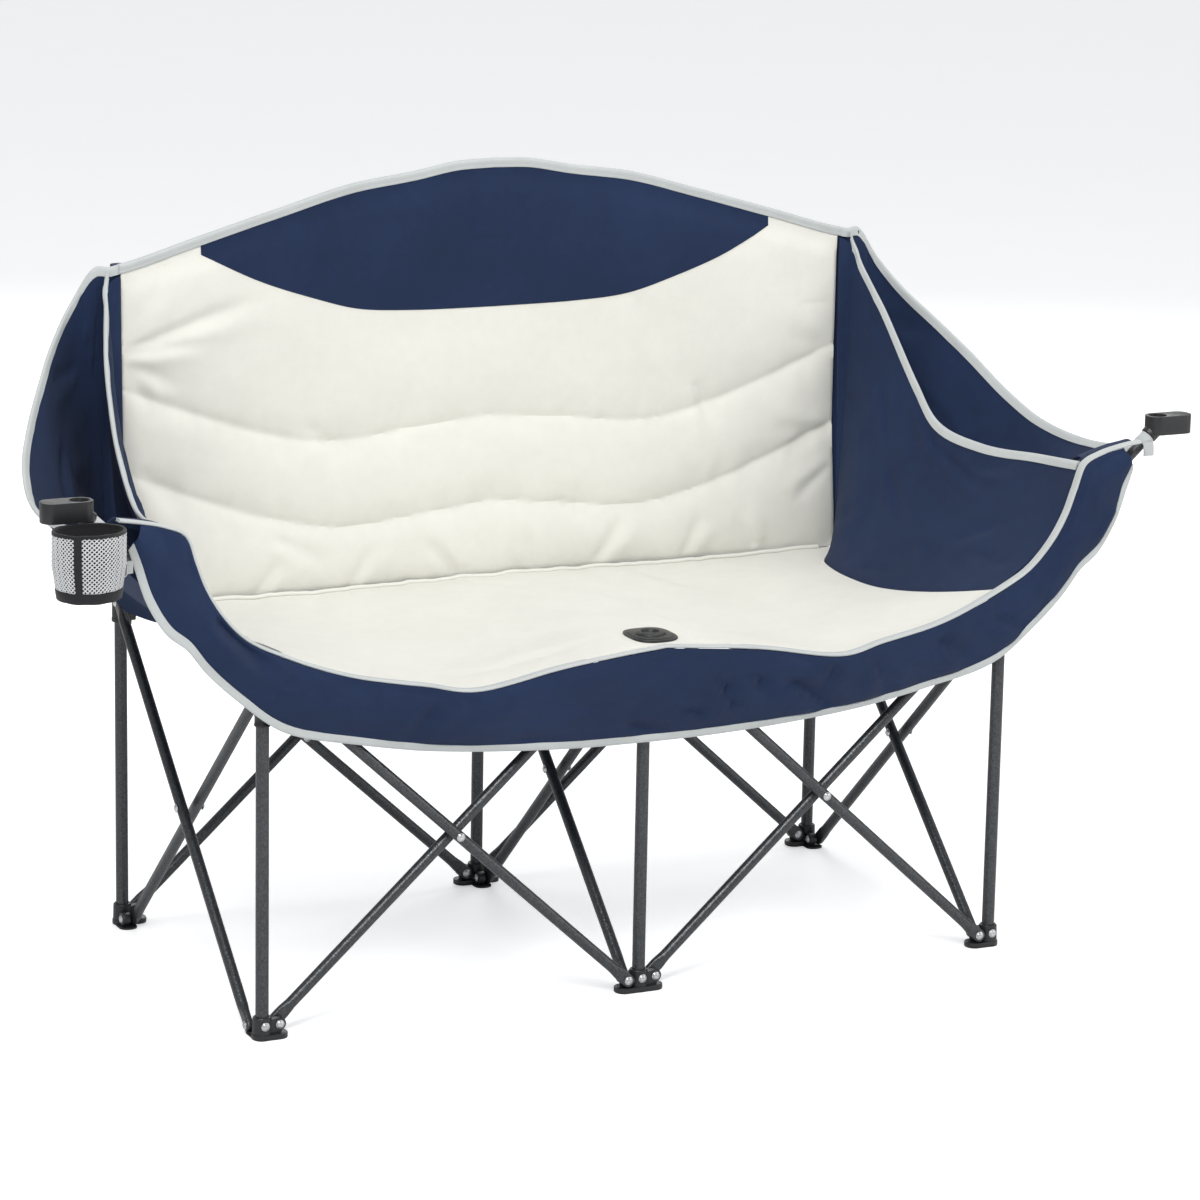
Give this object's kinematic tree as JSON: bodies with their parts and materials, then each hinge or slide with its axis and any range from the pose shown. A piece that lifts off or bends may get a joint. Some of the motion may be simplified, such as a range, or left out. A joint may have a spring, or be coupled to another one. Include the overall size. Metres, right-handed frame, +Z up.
{
  "type": "folding camping loveseat",
  "caption": "Two-seat folding camping chair: padded bucket seat hung in a frame of crossed steel tubes that folds in both directions, with a mesh cup holder.",
  "frame": {"origin": "centre of the open chair's footprint, on the floor", "axes": "+X across the chair, +Y to the back, +Z up"},
  "size_m": [1.548, 0.6084, 0.978],
  "materials": {
    "frame_tube": "hammered dark grey powder coat",
    "fitting_plastic": "fine moulded texture, satin black",
    "cream_fabric": "woven polyester, padded and quilted, cream",
    "navy_fabric": "woven polyester, navy",
    "grey_tape": "woven edge tape, light grey",
    "grey_webbing": "flat woven webbing, light grey",
    "mesh_net": "open diagonal mesh, black and white",
    "black_tape": "woven tape, black"
  },
  "bodies": {
    "seat": {"front_hub_middle": "fitting_plastic", "seat_cap": "fitting_plastic", "seat_pad": "cream_fabric", "back_pad": "cream_fabric", "headrest_panel": "navy_fabric", "side_pad_right": "navy_fabric", "side_pad_left": "navy_fabric", "insert_binding_right": "grey_tape", "insert_binding_left": "grey_tape", "shell_back": "navy_fabric", "shell_base": "navy_fabric", "wing_right": "navy_fabric", "wing_left": "navy_fabric", "front_apron": "navy_fabric", "arm_top_right": "navy_fabric", "arm_top_left": "navy_fabric", "shell_binding": "grey_tape", "rim_binding": "grey_tape", "front_binding": "grey_tape", "cup_strap": "grey_webbing"},
    "front_tube_right_to_middle": {"front_tube_right_to_middle": "frame_tube"},
    "front_arm_right": {"front_tube_middle_to_right": "frame_tube", "arm_end_right": "fitting_plastic", "arm_strap_right": "grey_webbing"},
    "front_post_right": {"front_foot_right": "fitting_plastic", "front_upright_right": "frame_tube", "front_collar_right": "fitting_plastic"},
    "front_post_middle": {"front_foot_middle": "fitting_plastic", "front_upright_middle": "frame_tube", "front_collar_middle": "fitting_plastic"},
    "front_hub_right": {"front_hub_right": "fitting_plastic"},
    "front_tube_left_to_middle": {"front_tube_left_to_middle": "frame_tube"},
    "front_arm_left": {"front_tube_middle_to_left": "frame_tube", "arm_end_left": "fitting_plastic", "arm_strap_left": "grey_webbing"},
    "front_post_left": {"front_foot_left": "fitting_plastic", "front_upright_left": "frame_tube", "front_collar_left": "fitting_plastic"},
    "front_hub_left": {"front_hub_left": "fitting_plastic"},
    "cup_holder": {"cup_net": "mesh_net", "cup_trim": "black_tape"},
    "side_tube_middle_to_front": {"side_tube_middle_to_front": "frame_tube"},
    "side_tube_middle_to_rear": {"side_tube_middle_to_rear": "frame_tube"},
    "rear_post_middle": {"rear_foot_middle": "fitting_plastic", "rear_upright_middle": "frame_tube"},
    "rear_slider_middle": {"rear_slider_middle": "fitting_plastic"},
    "rear_tube_left_to_middle": {"rear_tube_left_to_middle": "frame_tube"},
    "rear_tube_middle_to_left": {"rear_tube_middle_to_left": "frame_tube"},
    "rear_post_left": {"rear_foot_left": "fitting_plastic", "rear_upright_left": "frame_tube"},
    "rear_slider_left": {"rear_slider_left": "fitting_plastic"},
    "rear_tube_right_to_middle": {"rear_tube_right_to_middle": "frame_tube"},
    "rear_tube_middle_to_right": {"rear_tube_middle_to_right": "frame_tube"},
    "rear_post_right": {"rear_foot_right": "fitting_plastic", "rear_upright_right": "frame_tube"},
    "rear_slider_right": {"rear_slider_right": "fitting_plastic"},
    "side_tube_left_to_front": {"side_tube_left_to_front": "frame_tube"},
    "side_tube_left_to_rear": {"side_tube_left_to_rear": "frame_tube"},
    "side_tube_right_to_front": {"side_tube_right_to_front": "frame_tube"},
    "side_tube_right_to_rear": {"side_tube_right_to_rear": "frame_tube"}
  },
  "joints": [
    {"name": "fold", "type": "hinge", "parent": "seat", "child": "front_tube_right_to_middle", "pos_m": [0.02, -0.2142, 0.438], "axis": [0, 1, 0], "range_deg": [0, 37.5], "deforming": ["seat_pad", "back_pad", "headrest_panel", "side_pad_right", "side_pad_left", "insert_binding_right", "insert_binding_left", "shell_back", "shell_base", "wing_right", "wing_left", "front_apron", "arm_top_right", "arm_top_left", "shell_binding", "rim_binding", "front_binding", "cup_strap"]},
    {"name": "front_right_crossing", "type": "hinge", "parent": "front_tube_right_to_middle", "child": "front_arm_right", "pos_m": [0.25, -0.2142, 0.228], "axis": [0, 1, 0], "range_deg": [-75, 0]},
    {"name": "front_right_foot_pivot", "type": "hinge", "parent": "front_tube_right_to_middle", "child": "front_post_right", "pos_m": [0.48, -0.2142, 0.018], "axis": [0, 1, 0], "range_deg": [-37.5, 0]},
    {"name": "front_middle_foot_pivot", "type": "hinge", "parent": "front_arm_right", "child": "front_post_middle", "pos_m": [0.02, -0.2142, 0.018], "axis": [0, 1, 0], "range_deg": [0, 37.5]},
    {"name": "front_right_hub_pivot", "type": "hinge", "parent": "front_arm_right", "child": "front_hub_right", "pos_m": [0.48, -0.2142, 0.438], "axis": [0, 1, 0], "range_deg": [0, 37.5]},
    {"name": "front_left_hub_side_pivot", "type": "hinge", "parent": "seat", "child": "front_tube_left_to_middle", "pos_m": [-0.02, -0.2142, 0.438], "axis": [0, 1, 0], "range_deg": [-37.5, 0]},
    {"name": "front_left_crossing", "type": "hinge", "parent": "front_tube_left_to_middle", "child": "front_arm_left", "pos_m": [-0.25, -0.2142, 0.228], "axis": [0, 1, 0], "range_deg": [0, 75]},
    {"name": "front_left_foot_pivot", "type": "hinge", "parent": "front_tube_left_to_middle", "child": "front_post_left", "pos_m": [-0.48, -0.2142, 0.018], "axis": [0, 1, 0], "range_deg": [0, 37.5]},
    {"name": "front_left_hub_pivot", "type": "hinge", "parent": "front_arm_left", "child": "front_hub_left", "pos_m": [-0.48, -0.2142, 0.438], "axis": [0, 1, 0], "range_deg": [-37.5, 0]},
    {"name": "cup_hanger", "type": "hinge", "parent": "front_arm_left", "child": "cup_holder", "pos_m": [-0.7083, -0.2142, 0.6464], "axis": [0, 1, 0], "range_deg": [-37.5, 0]},
    {"name": "middle_side_top_pivot", "type": "hinge", "parent": "seat", "child": "side_tube_middle_to_front", "pos_m": [0.0095, -0.1942, 0.432], "axis": [1, 0, 0], "range_deg": [-37.5, 0]},
    {"name": "middle_side_crossing", "type": "hinge", "parent": "side_tube_middle_to_front", "child": "side_tube_middle_to_rear", "pos_m": [0, 0.0358, 0.222], "axis": [1, 0, 0], "range_deg": [0, 75]},
    {"name": "middle_side_foot_pivot", "type": "hinge", "parent": "side_tube_middle_to_front", "child": "rear_post_middle", "pos_m": [0, 0.2658, 0.012], "axis": [1, 0, 0], "range_deg": [0, 37.5]},
    {"name": "middle_slider_pivot", "type": "hinge", "parent": "side_tube_middle_to_rear", "child": "rear_slider_middle", "pos_m": [0, 0.2658, 0.432], "axis": [1, 0, 0], "range_deg": [-37.5, 0]},
    {"name": "rear_left_top_pivot", "type": "hinge", "parent": "rear_slider_middle", "child": "rear_tube_left_to_middle", "pos_m": [-0.02, 0.2858, 0.438], "axis": [0, 1, 0], "range_deg": [-37.5, 0]},
    {"name": "rear_left_crossing", "type": "hinge", "parent": "rear_tube_left_to_middle", "child": "rear_tube_middle_to_left", "pos_m": [-0.25, 0.2858, 0.228], "axis": [0, 1, 0], "range_deg": [0, 75]},
    {"name": "rear_left_foot_pivot", "type": "hinge", "parent": "rear_tube_left_to_middle", "child": "rear_post_left", "pos_m": [-0.48, 0.2858, 0.018], "axis": [0, 1, 0], "range_deg": [0, 37.5]},
    {"name": "rear_left_slider_pivot", "type": "hinge", "parent": "rear_tube_middle_to_left", "child": "rear_slider_left", "pos_m": [-0.48, 0.2858, 0.438], "axis": [0, 1, 0], "range_deg": [-37.5, 0]},
    {"name": "rear_right_top_pivot", "type": "hinge", "parent": "rear_slider_middle", "child": "rear_tube_right_to_middle", "pos_m": [0.02, 0.2858, 0.438], "axis": [0, 1, 0], "range_deg": [0, 37.5]},
    {"name": "rear_right_crossing", "type": "hinge", "parent": "rear_tube_right_to_middle", "child": "rear_tube_middle_to_right", "pos_m": [0.25, 0.2858, 0.228], "axis": [0, 1, 0], "range_deg": [-75, 0]},
    {"name": "rear_right_foot_pivot", "type": "hinge", "parent": "rear_tube_right_to_middle", "child": "rear_post_right", "pos_m": [0.48, 0.2858, 0.018], "axis": [0, 1, 0], "range_deg": [-37.5, 0]},
    {"name": "rear_right_slider_pivot", "type": "hinge", "parent": "rear_tube_middle_to_right", "child": "rear_slider_right", "pos_m": [0.48, 0.2858, 0.438], "axis": [0, 1, 0], "range_deg": [0, 37.5]},
    {"name": "left_side_top_pivot", "type": "hinge", "parent": "front_hub_left", "child": "side_tube_left_to_front", "pos_m": [-0.5, -0.1942, 0.432], "axis": [1, 0, 0], "range_deg": [-37.5, 0]},
    {"name": "left_side_crossing", "type": "hinge", "parent": "side_tube_left_to_front", "child": "side_tube_left_to_rear", "pos_m": [-0.5, 0.0358, 0.222], "axis": [1, 0, 0], "range_deg": [0, 75]},
    {"name": "right_side_top_pivot", "type": "hinge", "parent": "front_hub_right", "child": "side_tube_right_to_front", "pos_m": [0.5, -0.1942, 0.432], "axis": [1, 0, 0], "range_deg": [-37.5, 0]},
    {"name": "right_side_crossing", "type": "hinge", "parent": "side_tube_right_to_front", "child": "side_tube_right_to_rear", "pos_m": [0.5, 0.0358, 0.222], "axis": [1, 0, 0], "range_deg": [0, 75]}
  ],
  "couplings": [
    {"joint": "front_right_crossing", "follows": "fold", "ratio": -2},
    {"joint": "front_right_foot_pivot", "follows": "fold", "ratio": -1},
    {"joint": "front_middle_foot_pivot", "follows": "fold", "ratio": 1},
    {"joint": "front_right_hub_pivot", "follows": "fold", "ratio": 1},
    {"joint": "front_left_hub_side_pivot", "follows": "fold", "ratio": -1},
    {"joint": "front_left_crossing", "follows": "fold", "ratio": 2},
    {"joint": "front_left_foot_pivot", "follows": "fold", "ratio": 1},
    {"joint": "front_left_hub_pivot", "follows": "fold", "ratio": -1},
    {"joint": "cup_hanger", "follows": "fold", "ratio": -1},
    {"joint": "middle_side_top_pivot", "follows": "fold", "ratio": -1},
    {"joint": "middle_side_crossing", "follows": "fold", "ratio": 2},
    {"joint": "middle_side_foot_pivot", "follows": "fold", "ratio": 1},
    {"joint": "middle_slider_pivot", "follows": "fold", "ratio": -1},
    {"joint": "rear_left_top_pivot", "follows": "fold", "ratio": -1},
    {"joint": "rear_left_crossing", "follows": "fold", "ratio": 2},
    {"joint": "rear_left_foot_pivot", "follows": "fold", "ratio": 1},
    {"joint": "rear_left_slider_pivot", "follows": "fold", "ratio": -1},
    {"joint": "rear_right_top_pivot", "follows": "fold", "ratio": 1},
    {"joint": "rear_right_crossing", "follows": "fold", "ratio": -2},
    {"joint": "rear_right_foot_pivot", "follows": "fold", "ratio": -1},
    {"joint": "rear_right_slider_pivot", "follows": "fold", "ratio": 1},
    {"joint": "left_side_top_pivot", "follows": "fold", "ratio": -1},
    {"joint": "left_side_crossing", "follows": "fold", "ratio": 2},
    {"joint": "right_side_top_pivot", "follows": "fold", "ratio": -1},
    {"joint": "right_side_crossing", "follows": "fold", "ratio": 2}
  ]
}
